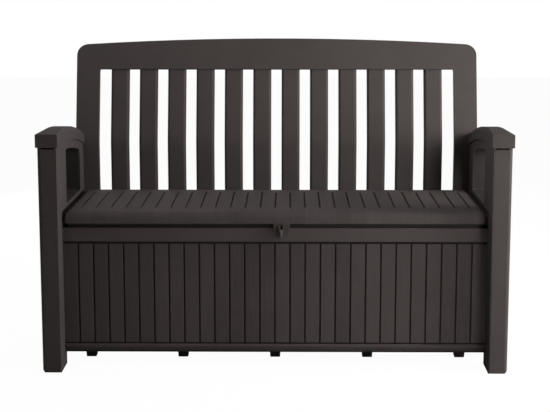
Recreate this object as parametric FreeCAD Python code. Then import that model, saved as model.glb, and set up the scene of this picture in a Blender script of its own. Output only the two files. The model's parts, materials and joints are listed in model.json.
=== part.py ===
import FreeCAD, Part
import math
import os

V = FreeCAD.Vector

# Outdoor storage bench: moulded resin side frames, panels and backrest, with a hinged seat lid.
# All sizes in millimetres. The front faces -Y, and +X is to the right as seen from the front.
# While modelling, Y = 0 is the front face of the front legs; the finished part is centred on its box.

# Overall sizes
overall_width = 1350.0       # over the two arm caps
frame_thickness = 55.0       # one side frame, outer face to inner face
front_leg_depth = 105.0
rear_leg_depth = 85.0
frame_depth = 615.0          # front leg's front face to rear leg's back face
shoulder_height = 400.0      # top of the box part of the side frame, under the backrest
shoulder_chamfer = 30.0
wall = 4.0                   # general moulded wall
face_wall = 8.0              # outer face of the side frame, which carries the plank grooves
cover_thickness = 4.0        # flat cover on the inside of a side frame
leg_sole = 12.0
edge_radius = 11.0           # outer edges of the side frames
cover_edge_radius = 2.0
skirt_height = 42.0          # underside of the box above the ground
fit_gap = 0.3                # gap between parts that slide together by hand

# Arm: its top line is an arc that falls towards the backrest
arm_crest_height = 696.0
arm_crest_depth = 100.0
arm_radius = 1750.0
arm_rear_gap = 4.3           # arm's rear face to the backrest
cap_height = 38.0
cap_wall = 3.7
cap_chamfer = 10.0
cap_front_chamfer = 1.5
cap_hip = 150.0              # front leg's face to where the cap's chamfer is full
window_front = 167.0         # front leg's face to the arm window
window_rear_post = 83.0      # window to the backrest
window_rise = 10.0           # seat to the window's sill
window_drop = 65.0           # arm top to window ceiling
window_corner = 8.0
window_top_corner = 25.0

# Planks and grooves
plank_pitch = 44.0
groove_width = 5.0
groove_depth = 2.5
side_recess = 2.5

# Front and rear panels
front_panel_depth = 72.0     # front leg's face to the proud rails
rail_proud = 5.0
panel_wall = 5.0
top_rail_height = 37.5
bottom_rail_height = 29.5
finger_gap = 13.0            # front panel's top to the lid
rail_channel = 11.0          # front face of the top rail to the planks
rail_line = 4.5              # shadow line between the planks and the bottom rail
rail_radius = 3.0
panel_flange = 9.4           # end flange that is screwed to the side cover
flange_drop = 12.0           # front panel's top to the top of its flanges
floor_ledge = 9.0
ledge_thickness = 6.0
cross_rail_wall = 3.0        # angle rail behind the front panel, which carries the lid's front edge
cross_rail_flange = 18.0
cross_rail_lap = 36.0        # down the back of the front panel
cross_screw_count = 4
cross_screw_end = 151.0      # rail's end to its first screw
cross_screw_drop = 21.0      # front panel's top to the screws
cross_screw_bite = 8.0
rear_panel_setback = 55.0    # rear leg's back face to the plank face of the rear panel
panel_screw_rows = 3
panel_screw_low = 50.0       # floor to the lowest screw
panel_screw_high = 60.0      # shoulder to the highest screw

# Floor
floor_thickness = 6.0
foot_top = 37.0
foot_bottom = 29.0
foot_lift = 1.5              # feet stop just short of level ground
foot_rows = 3
foot_columns = 5
foot_end = 62.7              # floor's end to the middle of the outer feet
foot_front = 104.0           # front panel to the middle of the first row

# Backrest
backrest_lap = 24.0          # backrest's end behind the arm, from the arm's inner face
backrest_setback = 92.0      # rear leg's back face to the upright part of the backrest
backrest_thickness = 26.0
backrest_skin = 5.0
backrest_top = 935.0         # middle of the arched top
backrest_arch = 20.0         # rise of the arch
backrest_corner = 34.0
backrest_lean = 14.0         # degrees
bend_height = 612.0          # where the upright and the leaning part would meet
bend_radius = 200.0
stile_width = 72.7
stile_cells = 5              # ribbed pockets in the back of a stile
slot_below_seat = 10.0
backrest_rail = 97.5         # top rail, at the middle of the arch
slat_count = 12
slat_width = 58.0
end_slot = 37.7              # stile to the first slat
slat_thickness = 20.0
slat_setback = 4.0
slat_edge = 6.5
slat_wall = 4.0

# Seat lid and its hinge
lid_top = 460.0
lid_overhang = 8.0           # lid's front edge ahead of the proud rails
lid_rear_gap = 13.0          # lid's rear edge to the backrest
lid_side_gap = 7.0
lid_height = 33.0
lid_plate = 6.0
lid_nose_radius = 16.0
lid_edge_radius = 6.0
groove_front_margin = 90.0   # lid's front edge to its grooves
groove_rear_margin = 53.0
liner_height = 20.0          # lid's top to the liner's underside
liner_thickness = 3.0
liner_front_gap = 5.0
rib_thickness = 4.0
rib_count = 9
rib_end = 83.7               # liner's end to the first rib
liner_screw_inset = 50.0
hinge_setback = 38.0         # hinge axis to the backrest
hinge_drop = 20.0            # lid's top to the hinge axis
pin_radius = 6.0
pin_play = 0.05
pin_length = 66.0
pin_clear = 1.0              # round the pin in the lid's side wall
bush_wall = 4.0
bush_length = 18.0
side_ledge_width = 14.0

# Lock: an eye on the front rail and a forked hasp on the lid
lock_offset = 19.5           # to the right of the middle, as seen from the front
hasp_width = 48.0
hasp_plate = 4.0
hasp_reach = 37.0            # below the lid's edge
hasp_shoulder = 18.0         # upright part of its sides
hasp_foot = 30.0             # width at its lower end
ear_thickness = 4.5
ear_reach = 18.0             # in front of the hasp plate
ear_radius = 8.5
eye_thickness = 6.0
eye_play = 0.5
eye_plate = 3.0
eye_height = 22.0
eye_width = 30.0
eye_below_top = 2.0          # front panel's top to the eye's upper edge
padlock_radius = 4.5

# Screws
screw_radius = 2.0
screw_head_radius = 4.5
screw_head = 3.0
screw_play = 0.1
screw_bite = 14.0
blind_gap = 1.0              # screw's end to the bottom of its hole
bolt_radius = 3.0
bolt_head_radius = 6.0
bolt_head = 4.0
bolt_bite = 26.0
boss_wall = 4.0
cover_screw_columns = 3
cover_screw_inset = 30.0     # panel flange to the nearest column
cover_screw_low = 42.0       # skirt to the lower row
cover_screw_high = 80.0      # shoulder to the upper row
bolt_above_sill = 6.0
bolt_below_bend = 52.0
backrest_screw_count = 4
backrest_screw_end = 188.0   # backrest's end to its first screw

# Sizes that follow from those above
cap_overhang = cap_wall + fit_gap
cap_outer_x = overall_width / 2
frame_outer_x = cap_outer_x - cap_overhang
frame_inner_x = frame_outer_x - frame_thickness
cover_back_x = frame_inner_x + cover_thickness
panel_half = frame_inner_x - fit_gap
backrest_front = frame_depth - backrest_setback
rear_panel_depth = frame_depth - rear_panel_setback
backrest_half = frame_inner_x + backrest_lap
slot_half = backrest_half - stile_width
slat_pitch = (2 * (slot_half - end_slot) - slat_width) / (slat_count - 1)
arm_rear = backrest_front - arm_rear_gap
arm_centre_z = arm_crest_height - arm_radius
lean = math.radians(backrest_lean)
backrest_rear = (backrest_front + (backrest_top - bend_height) * math.tan(lean)
                 + backrest_thickness / math.cos(lean))
mid_depth = (backrest_rear - cap_overhang) / 2
lid_half = frame_inner_x - lid_side_gap
lid_front = front_panel_depth - lid_overhang
lid_rear = backrest_front - lid_rear_gap
lid_bottom = lid_top - lid_height
front_panel_top = lid_bottom - finger_gap
window_sill = lid_top + window_rise
window_rear = backrest_front - window_rear_post
slot_bottom = lid_top - slot_below_seat
slot_top = backrest_top - backrest_rail
hinge_y = backrest_front - hinge_setback
hinge_z = lid_top - hinge_drop
plank_face = front_panel_depth + rail_proud
rail_nose = 0.92 * rail_proud
panel_inside = plank_face + panel_wall
rear_inside = rear_panel_depth - panel_wall
floor_bottom = skirt_height + ledge_thickness
floor_top = floor_bottom + floor_thickness
liner_bottom = lid_top - liner_height
liner_top = liner_bottom + liner_thickness
plate_bottom = lid_top - lid_plate
screw_hole = screw_radius + screw_play
bolt_hole = bolt_radius + screw_play
boss_radius = screw_radius + boss_wall
bolt_boss_radius = bolt_radius + boss_wall
bush_radius = pin_radius + pin_play + bush_wall


# Small helpers
def box(x0, x1, y0, y1, z0, z1):
    return Part.makeBox(x1 - x0, y1 - y0, z1 - z0, V(x0, y0, z0))


def rod(radius, start, end):
    return Part.makeCylinder(radius, (end - start).Length, start, end - start)


def face_of(points):
    return Part.Face(Part.makePolygon(points + points[:1]))


def mirrored(shape):
    return shape.mirror(V(0, 0, 0), V(1, 0, 0))


def fused(shapes):
    return shapes[0].multiFuse(shapes[1:]).removeSplitter()


def cut_all(shape, tools):
    return shape.cut(Part.makeCompound(tools))


def rounded(shape, radius, test):
    edges = [edge for edge in shape.Edges if test(edge)]
    return shape.makeFillet(radius, edges)


def spread(reach, count):
    # even places from -reach to reach
    return [reach * (2 * k / (count - 1) - 1) for k in range(count)]


def near(a, b):
    return abs(a - b) < 0.01


def edge_on(edge, axis, value):
    return all(near(getattr(vertex.Point, axis), value) for vertex in edge.Vertexes)


def screw(head_at, direction, radius, head_radius, head_height, length):
    # head_at is the seat under the head; the shank runs along direction
    way = V(direction).normalize()
    head = rod(head_radius, head_at - way * head_height, head_at)
    shank = rod(radius, head_at - way * (head_height / 2), head_at + way * length)
    socket = rod(radius, head_at - way * head_height, head_at - way * (head_height / 2))
    return head.cut(socket).fuse(shank).removeSplitter()


def plain_screw(head_at, direction, length):
    return screw(head_at, direction, screw_radius, screw_head_radius, screw_head, length)


def save(name, shapes):
    shape = shapes[0] if len(shapes) == 1 else Part.makeCompound(shapes)
    shape.translate(V(0, -mid_depth, 0))
    shape.exportStep("parts/%s.step" % name)
    print(name, len(shape.Solids), shape.isValid(), round(shape.Volume / 1000.0, 1))


def save_pair(name, shape):
    save(name + "_left", [mirrored(shape)])
    save(name + "_right", [shape])


# Arm line: height of the arm's top at a depth, less a drop measured towards the arc's centre
def arm_z(y, drop):
    return arm_centre_z + math.sqrt((arm_radius - drop) ** 2 - (y - arm_crest_depth) ** 2)


def arm_arc(x, y0, y1, drop):
    ends = [V(x, y, arm_z(y, drop)) for y in (y0, (y0 + y1) / 2, y1)]
    return Part.Arc(*ends).toShape()


def lines(points):
    return [Part.makeLine(a, b) for a, b in zip(points, points[1:])]


# Side frame, right-hand one; the left one is its mirror image
def side_outline(x, inset, sole):
    head = cap_wall + cap_chamfer + inset
    front, rear, top = inset, frame_depth - inset, shoulder_height - inset
    back = arm_rear - inset
    under = skirt_height + inset
    slope = shoulder_chamfer + inset * (math.sqrt(2) - 1)
    corners = [
        (back, arm_z(back, head)), (back, top), (frame_depth - slope, top), (rear, shoulder_height - slope),
        (rear, sole), (frame_depth - rear_leg_depth + inset, sole),
        (frame_depth - rear_leg_depth + inset, under), (front_leg_depth - inset, under),
        (front_leg_depth - inset, sole), (front, sole), (front, arm_z(front, head))]
    edges = lines([V(x, y, z) for y, z in corners]) + [arm_arc(x, front, back, head)]
    return Part.Face(Part.Wire(Part.__sortEdges__(edges)))


def arm_window(x0, x1, grow):
    front, rear, sill = window_front - grow, window_rear + grow, window_sill - grow
    drop = window_drop - grow
    corners = [V(x0, front, arm_z(front, drop)), V(x0, front, sill), V(x0, rear, sill),
               V(x0, rear, arm_z(rear, drop))]
    edges = lines(corners) + [arm_arc(x0, front, rear, drop)]
    hole = Part.Face(Part.Wire(Part.__sortEdges__(edges))).extrude(V(x1 - x0, 0, 0))

    def along_x(edge):
        return near(edge.BoundBox.XLength, x1 - x0)

    def top_rear(edge):
        return along_x(edge) and edge.BoundBox.YMin > rear - 1 and edge.BoundBox.ZMin > sill + 1

    hole = rounded(hole, window_top_corner + grow, top_rear)

    def square(edge):
        straight = along_x(edge) and edge.BoundBox.YLength < 0.01 and edge.BoundBox.ZLength < 0.01
        low = edge.BoundBox.ZMin < sill + 1
        return straight and (low or edge.BoundBox.YMin < front + 1)

    return rounded(hole, window_corner + grow, square)


# Places of the screws that hold a cover on its side frame, as (depth, height)
cover_screw_rows = (skirt_height + cover_screw_low, shoulder_height - cover_screw_high)
backrest_bolt_heights = [window_sill + bolt_above_sill, bend_height - bolt_below_bend]
backrest_bolt_x = (frame_inner_x + backrest_half) / 2 + cover_thickness
panel_screw_step = (shoulder_height - panel_screw_high - floor_top - panel_screw_low) / (panel_screw_rows - 1)
panel_screw_heights = [floor_top + panel_screw_low + k * panel_screw_step for k in range(panel_screw_rows)]
flange_mid = panel_flange / 2
first_column = panel_inside + panel_flange + cover_screw_inset
last_column = rear_inside - panel_flange - cover_screw_inset
column_pitch = (last_column - first_column) / (cover_screw_columns - 1)
cover_screw_places = [(first_column + k * column_pitch, z)
                      for k in range(cover_screw_columns) for z in cover_screw_rows]


def panel_screw_points(flange_y):
    return [V(panel_half - wall, flange_y, z) for z in panel_screw_heights]


front_flange_y = panel_inside + flange_mid
rear_flange_y = rear_inside - flange_mid
panel_points = panel_screw_points(front_flange_y) + panel_screw_points(rear_flange_y)
panel_screw_length = wall + fit_gap + cover_thickness + screw_bite


def side_frame():
    inside_x = frame_outer_x - face_wall
    body = side_outline(cover_back_x, 0, 0).extrude(V(frame_outer_x - cover_back_x, 0, 0))
    body = rounded(body, edge_radius, lambda edge: edge_on(edge, "x", frame_outer_x))
    hollow = side_outline(cover_back_x, wall, leg_sole).extrude(V(inside_x - cover_back_x, 0, 0))
    hollow = hollow.cut(arm_window(cover_back_x, inside_x, wall))
    body = body.cut(arm_window(cover_back_x, frame_outer_x, 0)).cut(hollow)
    bosses, holes = [], []
    for y, z in cover_screw_places:
        bosses.append(rod(boss_radius, V(cover_back_x, y, z), V(inside_x, y, z)))
        holes.append(rod(screw_hole, V(cover_back_x, y, z), V(cover_back_x + screw_bite + blind_gap, y, z)))
    bosses.append(rod(bush_radius, V(cover_back_x, hinge_y, hinge_z), V(inside_x, hinge_y, hinge_z)))
    pin_end = frame_inner_x - lid_side_gap - bush_length + pin_length
    holes.append(rod(pin_radius + pin_play, V(cover_back_x, hinge_y, hinge_z), V(pin_end, hinge_y, hinge_z)))
    for z in backrest_bolt_heights:
        inner = V(backrest_bolt_x, arm_rear - wall - bolt_bite, z)
        bosses.append(rod(bolt_boss_radius, inner, V(backrest_bolt_x, backrest_front, z)))
        holes.append(rod(bolt_hole, inner, V(backrest_bolt_x, backrest_front, z)))
    body = cut_all(fused([body] + bosses), holes)
    # planked field on the outer face
    field_front = front_leg_depth
    field_rear = frame_depth - rear_leg_depth
    low = skirt_height + bottom_rail_height
    high = front_panel_top - top_rail_height - rail_channel
    field = box(frame_outer_x - side_recess, frame_outer_x, field_front, field_rear, low, high)
    middle = (field_front + field_rear) / 2
    reach = int((field_rear - field_front) / 2 / plank_pitch)
    bottom = frame_outer_x - side_recess - groove_depth
    grooves = []
    for k in range(-reach, reach + 1):
        y = middle + k * plank_pitch
        grooves.append(box(bottom, frame_outer_x, y - groove_width / 2, y + groove_width / 2, low, high))
    return cut_all(body, [field] + grooves)


def side_cover():
    plate = side_outline(frame_inner_x, 0, 0).extrude(V(cover_thickness, 0, 0))
    plate = plate.cut(arm_window(frame_inner_x, cover_back_x, 0))

    def front_edge(edge):
        return edge_on(edge, "x", frame_inner_x) and edge_on(edge, "y", 0)

    plate = rounded(plate, cover_edge_radius, front_edge)
    ledge_top = lid_bottom - fit_gap
    ledge_end = hinge_y - lid_height - hinge_drop / 2
    ledge = box(frame_inner_x - side_ledge_width, frame_inner_x, panel_inside + panel_flange + fit_gap,
                ledge_end, ledge_top - side_ledge_width, ledge_top)
    slope = face_of([V(frame_inner_x - side_ledge_width, 0, ledge_top - side_ledge_width),
                     V(frame_inner_x, 0, ledge_top - side_ledge_width),
                     V(frame_inner_x - side_ledge_width, 0, ledge_top - wall)])
    plate = plate.fuse(ledge.cut(slope.extrude(V(0, frame_depth, 0)))).removeSplitter()
    holes = []
    for y, z in cover_screw_places:
        holes.append(rod(screw_hole, V(frame_inner_x, y, z), V(cover_back_x, y, z)))
    for point in panel_points:
        holes.append(rod(screw_hole, V(frame_inner_x, point.y, point.z), V(cover_back_x, point.y, point.z)))
    holes.append(rod(pin_radius + pin_play, V(frame_inner_x, hinge_y, hinge_z),
                     V(cover_back_x, hinge_y, hinge_z)))
    return cut_all(plate, holes)


def cover_screws():
    screws = []
    for y, z in cover_screw_places:
        screws.append(plain_screw(V(frame_inner_x, y, z), V(1, 0, 0), cover_thickness + screw_bite))
    return screws + [mirrored(one) for one in screws]


# Arm cap: a hollow moulding that slips over the top of the arm
def cap_section(y, top, chamfer, inset):
    x0, x1 = frame_inner_x - cap_overhang + inset, cap_outer_x - inset
    high, low = top - inset, top - cap_height
    cut = max(chamfer - inset * (2 - math.sqrt(2)), 0.2)
    return [V(x0, y, low), V(x0, y, high - cut), V(x0 + cut, y, high), V(x1 - cut, y, high),
            V(x1, y, high - cut), V(x1, y, low)]


def cap_block(inset):
    front = -cap_overhang
    hip = cap_section(cap_hip, arm_z(cap_hip, 0), cap_chamfer, inset)
    nose = cap_section(front, arm_z(front, 0), cap_front_chamfer, inset)
    fore = Part.makeLoft([Part.makePolygon(nose + nose[:1]), Part.makePolygon(hip + hip[:1])], True, True)
    turn = math.degrees(math.asin((arm_rear + 2 * cap_overhang - arm_crest_depth) / (arm_radius - cap_height)))
    centre = V(0, arm_crest_depth, arm_centre_z)
    aft = face_of(hip).revolve(centre, V(-1, 0, 0), turn)
    return fore.fuse(aft)


def arm_cap():
    span = overall_width
    rear = backrest_front - fit_gap
    keep = box(0, span, -cap_overhang, rear, 0, arm_crest_height + cap_height)
    room = box(0, span, -fit_gap, rear - cap_wall, 0, arm_crest_height + cap_height)
    shell = cap_block(0).common(keep)
    return shell.cut(cap_block(cap_wall).common(room)).removeSplitter()


# Front panel, between the side frames
def panel_grooves(y0, y1, low, high):
    reach = int(panel_half / plank_pitch)
    half = groove_width / 2
    return [box(k * plank_pitch - half, k * plank_pitch + half, y0, y1, low, high)
            for k in range(-reach, reach + 1)]


def front_panel():
    top, low = front_panel_top, skirt_height
    rail_front = front_panel_depth
    inside = panel_inside
    plank_low, plank_high = low + bottom_rail_height, top - top_rail_height - rail_channel
    line_low, line_high = plank_low - rail_line, top - top_rail_height - rail_nose
    sheet = box(-panel_half, panel_half, plank_face, inside, low, top)

    def rail(z0, z1, radius0, radius1):
        # a bar whose two front edges are rounded
        bar = box(-panel_half, panel_half, rail_front, plank_face, z0, z1)
        for z, radius in ((z0, radius0), (z1, radius1)):
            bar = rounded(bar, radius, lambda edge: edge_on(edge, "y", rail_front) and edge_on(edge, "z", z))
        return bar

    rails = [rail(line_high, top, rail_nose, rail_radius), rail(low, line_low, rail_radius, rail_nose)]
    ledge = box(-panel_half, panel_half, inside, inside + floor_ledge, low, low + ledge_thickness)
    pieces = [sheet] + rails + [ledge]
    for side in (-1, 1):
        x0, x1 = sorted((side * panel_half, side * (panel_half - wall)))
        pieces.append(box(x0, x1, inside, inside + panel_flange, floor_top + fit_gap, top - flange_drop))
    body = fused(pieces)
    tools = panel_grooves(plank_face, plank_face + groove_depth, line_low, line_high)
    for z0, z1 in ((line_low, plank_low), (plank_high, line_high)):
        tools.append(box(-panel_half, panel_half, plank_face, plank_face + groove_depth, z0, z1))
    for point in panel_screw_points(front_flange_y):
        for side in (-1, 1):
            a = V(side * point.x, point.y, point.z)
            tools.append(rod(screw_hole, a, V(side * panel_half, point.y, point.z)))
    for x in eye_screw_x():
        a = V(x, rail_front, eye_z)
        tools.append(rod(screw_hole, a, V(x, inside, eye_z)))
    for x in cross_screw_x:
        a = V(x, inside, cross_screw_z)
        tools.append(rod(screw_hole, a, V(x, inside - cross_screw_bite - blind_gap, cross_screw_z)))
    return cut_all(body, tools)


# Cross rail: an angle behind the front panel, just under the lid's liner
cross_rail_half = lid_half - wall - lid_side_gap / 2
cross_rail_top = liner_bottom - fit_gap
cross_rail_back = panel_inside + cross_rail_wall
cross_screw_z = front_panel_top - cross_screw_drop
cross_screw_x = spread(cross_rail_half - cross_screw_end, cross_screw_count)


def cross_rail():
    web = box(-cross_rail_half, cross_rail_half, panel_inside, cross_rail_back,
              front_panel_top - cross_rail_lap, cross_rail_top)
    flange = box(-cross_rail_half, cross_rail_half, panel_inside, panel_inside + cross_rail_flange,
                 cross_rail_top - cross_rail_wall, cross_rail_top)
    holes = [rod(screw_hole, V(x, panel_inside, cross_screw_z), V(x, cross_rail_back, cross_screw_z))
             for x in cross_screw_x]
    return cut_all(fused([web, flange]), holes)


def cross_rail_screws():
    length = cross_rail_wall + cross_screw_bite
    return [plain_screw(V(x, cross_rail_back, cross_screw_z), V(0, -1, 0), length) for x in cross_screw_x]


# Rear panel, with a top flange that carries the backrest
def rear_panel():
    low, top = skirt_height, shoulder_height
    inside, face = rear_inside, rear_panel_depth
    back = face + rail_proud
    channel = top - top_rail_height
    sheet = box(-panel_half, panel_half, inside, face, low, top)
    rails = []
    for z0, z1 in ((channel, top), (low, low + bottom_rail_height)):
        rail = box(-panel_half, panel_half, face, back, z0, z1)
        rails.append(rounded(rail, rail_radius, lambda edge: edge_on(edge, "y", back)
                             and edge.BoundBox.XLength > panel_half))
    shelf = box(-panel_half, panel_half, backrest_front, inside, top - ledge_thickness, top)
    ledge = box(-panel_half, panel_half, inside - floor_ledge, inside, low, low + ledge_thickness)
    pieces = [sheet] + rails + [shelf, ledge]
    for side in (-1, 1):
        x0, x1 = sorted((side * panel_half, side * (panel_half - wall)))
        pieces.append(box(x0, x1, inside - panel_flange, inside, floor_top + fit_gap, top - ledge_thickness))
    body = fused(pieces)
    tools = panel_grooves(face - groove_depth, face, low + bottom_rail_height, channel)
    for point in panel_screw_points(rear_flange_y):
        for side in (-1, 1):
            a = V(side * point.x, point.y, point.z)
            tools.append(rod(screw_hole, a, V(side * panel_half, point.y, point.z)))
    for x in backrest_screw_x:
        tools.append(rod(screw_hole, V(x, backrest_mid, top - ledge_thickness), V(x, backrest_mid, top)))
    return cut_all(body, tools)


def panel_screws(flange_y):
    screws = [plain_screw(point, V(1, 0, 0), panel_screw_length) for point in panel_screw_points(flange_y)]
    return screws + [mirrored(one) for one in screws]


# Floor with its support feet
def floor_panel():
    y0, y1 = panel_inside + fit_gap, rear_inside - fit_gap
    plate = box(-panel_half, panel_half, y0, y1, floor_bottom, floor_top)
    first_row = panel_inside + foot_front
    row_pitch = (y1 - floor_ledge - foot_top - first_row) / (foot_rows - 1)
    foot_pitch = 2 * (panel_half - foot_end) / (foot_columns - 1)
    feet = []
    for row in range(foot_rows):
        for column in range(foot_columns):
            x = (column - (foot_columns - 1) / 2) * foot_pitch
            y = first_row + row * row_pitch
            rims = []
            for size, z in ((foot_top, floor_bottom), (foot_bottom, foot_lift)):
                half = size / 2
                corners = [V(x - half, y - half, z), V(x + half, y - half, z),
                           V(x + half, y + half, z), V(x - half, y + half, z)]
                rims.append(Part.makePolygon(corners + corners[:1]))
            feet.append(Part.makeLoft(rims, True, True))
    return fused([plate] + feet)


# Backrest: layers between two depths behind its front surface
bend_low = bend_height - bend_radius * math.tan(lean / 2)
bend_centre = V(0, backrest_front + bend_radius, bend_low)
backrest_bottom = shoulder_height
backrest_mid = backrest_front + backrest_thickness / 2
backrest_screw_x = spread(backrest_half - backrest_screw_end, backrest_screw_count)
leaning_length = (backrest_top - bend_low) / math.cos(lean) + backrest_thickness
lean_way = V(0, math.sin(lean), math.cos(lean))


def bend_point(x, depth, angle):
    radius = bend_radius - depth
    return V(x, bend_centre.y - radius * math.cos(angle), bend_centre.z + radius * math.sin(angle))


def backrest_line(x, depth):
    # edge chain up the backrest at one depth, with its two end points
    start = V(x, backrest_front + depth, backrest_bottom)
    low, mid, high = [bend_point(x, depth, lean * share) for share in (0, 0.5, 1)]
    end = high + lean_way * leaning_length
    return start, end, [Part.makeLine(start, low), Part.Arc(low, mid, high).toShape(), Part.makeLine(high, end)]


def backrest_layer(x0, x1, depth0, depth1):
    start0, end0, edges0 = backrest_line(x0, depth0)
    start1, end1, edges1 = backrest_line(x0, depth1)
    edges = edges0 + edges1 + [Part.makeLine(start0, start1), Part.makeLine(end0, end1)]
    return Part.Face(Part.Wire(Part.__sortEdges__(edges))).extrude(V(x1 - x0, 0, 0))


def backrest_blank():
    # front outline with the arched top and rounded top corners
    half = backrest_half
    shoulder = backrest_top - backrest_arch
    corners = [V(-half, 0, shoulder), V(-half, 0, backrest_bottom), V(half, 0, backrest_bottom),
               V(half, 0, shoulder)]
    arch = Part.Arc(corners[0], V(0, 0, backrest_top), corners[3]).toShape()
    outline = Part.Face(Part.Wire(Part.__sortEdges__(lines(corners) + [arch])))
    deep = backrest_rear + backrest_thickness
    blank = outline.extrude(V(0, deep, 0))

    def top_corner(edge):
        return near(edge.BoundBox.YLength, deep) and near(edge.BoundBox.ZMin, shoulder)

    return rounded(blank, backrest_corner, top_corner)


def slat_section(x):
    # channel section, open at the back, at the foot of the slots
    half = slat_width / 2
    front = backrest_front + slat_setback
    back = front + slat_thickness
    foot = backrest_bottom + (slot_bottom - backrest_bottom) / 2
    turn = slat_edge * (1 - math.sqrt(0.5))
    left = Part.Arc(V(x - half, front + slat_edge, foot), V(x - half + turn, front + turn, foot),
                    V(x - half + slat_edge, front, foot)).toShape()
    right = Part.Arc(V(x + half - slat_edge, front, foot), V(x + half - turn, front + turn, foot),
                     V(x + half, front + slat_edge, foot)).toShape()
    inner = half - slat_wall
    round_back = [V(x + half, front + slat_edge, foot), V(x + half, back, foot), V(x + inner, back, foot),
                  V(x + inner, front + slat_wall, foot), V(x - inner, front + slat_wall, foot),
                  V(x - inner, back, foot), V(x - half, back, foot), V(x - half, front + slat_edge, foot)]
    face = Part.makeLine(V(x - half + slat_edge, front, foot), V(x + half - slat_edge, front, foot))
    return Part.Face(Part.Wire(Part.__sortEdges__([left, right, face] + lines(round_back))))


def slat(x):
    section = slat_section(x)
    foot = section.BoundBox.ZMin
    upright = section.extrude(V(0, 0, bend_low - foot))
    section.translate(V(0, 0, bend_low - foot))
    bend = section.revolve(bend_centre, V(-1, 0, 0), backrest_lean)
    section.rotate(bend_centre, V(-1, 0, 0), backrest_lean)
    rise = slot_top + (backrest_top - backrest_arch - slot_top) / 3
    leaning = section.extrude(lean_way * ((rise - section.BoundBox.ZMax) / math.cos(lean)))
    return fused([upright, bend, leaning])


def backrest_panel():
    half, inner = backrest_half, slot_half
    deep = backrest_rear + backrest_thickness
    blank = backrest_layer(-half, half, 0, backrest_thickness).common(backrest_blank())
    opening = box(-inner, inner, 0, deep, slot_bottom, slot_top)

    def upright_corner(edge):
        return near(edge.BoundBox.YLength, deep)

    frame = blank.cut(rounded(opening, slat_edge, upright_corner))
    # ribbed pockets in the back of the frame
    skin = backrest_layer(-half, half, backrest_skin, backrest_thickness * 2)
    pockets = []
    rail_low, rail_high = slot_top + wall, backrest_top - backrest_arch - backrest_corner
    cell = slat_pitch
    for k in range(slat_count + 1):
        x = (k - slat_count / 2) * cell
        x0, x1 = x - cell / 2 + wall / 2, x + cell / 2 - wall / 2
        pockets.append(box(max(x0, -inner), min(x1, inner), 0, deep, rail_low, rail_high))
    step = (slot_top - slot_bottom - bolt_boss_radius) / stile_cells
    for side in (-1, 1):
        x0, x1 = sorted((side * (inner + wall), side * (backrest_bolt_x - bolt_boss_radius - wall)))
        for k in range(stile_cells):
            z0 = slot_bottom + k * step + wall
            pockets.append(box(x0, x1, 0, deep, z0, z0 + step - wall))
    frame = frame.cut(skin.common(Part.makeCompound(pockets)))
    bars = [slat((k - (slat_count - 1) / 2) * slat_pitch) for k in range(slat_count)]
    rails = blank.cut(opening)
    panel = frame.multiFuse([bar.cut(rails) for bar in bars])
    holes = []
    for side in (-1, 1):
        for z in backrest_bolt_heights:
            holes.append(rod(bolt_hole, V(side * backrest_bolt_x, backrest_front, z),
                             V(side * backrest_bolt_x, backrest_front + backrest_thickness, z)))
    for x in backrest_screw_x:
        holes.append(rod(screw_hole, V(x, backrest_mid, backrest_bottom),
                         V(x, backrest_mid, backrest_bottom + screw_bite + blind_gap)))
    return cut_all(panel.removeSplitter(), holes)


def backrest_bolts():
    length = backrest_thickness + arm_rear_gap + wall + bolt_bite / 2
    bolts = []
    for side in (-1, 1):
        for z in backrest_bolt_heights:
            seat = V(side * backrest_bolt_x, backrest_front + backrest_thickness, z)
            bolts.append(screw(seat, V(0, -1, 0), bolt_radius, bolt_head_radius, bolt_head, length))
    return bolts


def backrest_screws():
    length = ledge_thickness + screw_bite
    return [plain_screw(V(x, backrest_mid, shoulder_height - ledge_thickness), V(0, 0, 1), length)
            for x in backrest_screw_x]


# Seat lid: a hollow top with a ribbed liner under it
liner_front = lid_front + wall + liner_front_gap
liner_rear = lid_rear - wall - fit_gap
liner_half = lid_half - wall - fit_gap
rib_pitch = 2 * (liner_half - rib_end) / (rib_count - 1)
liner_screw_bite = plate_bottom - liner_top - blind_gap
liner_screw_columns = (-3.5, -1.5, 1.5, 3.5)     # in rib pitches, so each post stands between two ribs
liner_screw_places = [(column * rib_pitch, y) for column in liner_screw_columns
                      for y in (liner_front + liner_screw_inset, liner_rear - liner_screw_inset)]


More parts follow.
